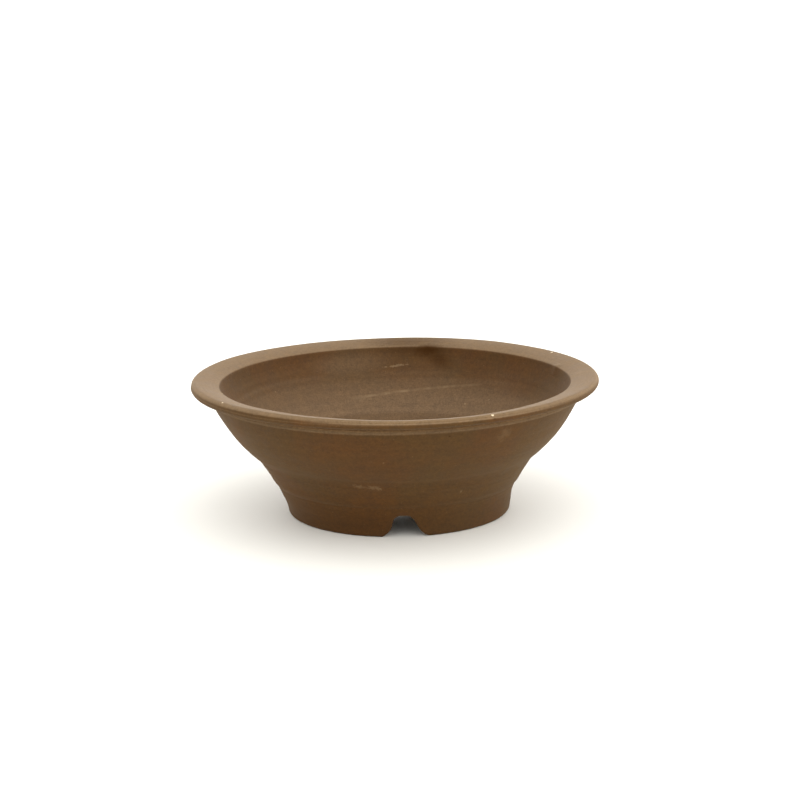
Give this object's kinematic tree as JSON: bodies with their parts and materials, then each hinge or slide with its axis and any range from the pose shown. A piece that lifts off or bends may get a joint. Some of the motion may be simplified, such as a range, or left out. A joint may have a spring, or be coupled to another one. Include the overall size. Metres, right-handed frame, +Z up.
{
  "type": "bonsai pot",
  "caption": "Round shallow bonsai pot of unglazed brown clay with a broad dished lip, waisted bowl, notched foot ring, wiring holes, and a netted drain hole.",
  "frame": {"origin": "on the pot's axis, in the plane that the foot ring stands on", "axes": "+Z up along the pot's axis; -Y is the front, through the middle of one foot notch"},
  "size_m": [0.25, 0.25, 0.0842],
  "materials": {
    "clay": "matte unglazed",
    "net_plastic": "matte",
    "clip_wire": "satin anodised"
  },
  "bodies": {
    "root": {"bowl": "clay", "lip_ring": "clay", "lip_seam_coil": "clay", "foot_ring": "clay", "foot_seam_coil": "clay", "drain_net": "net_plastic", "net_clip": "clip_wire"}
  },
  "joints": []
}
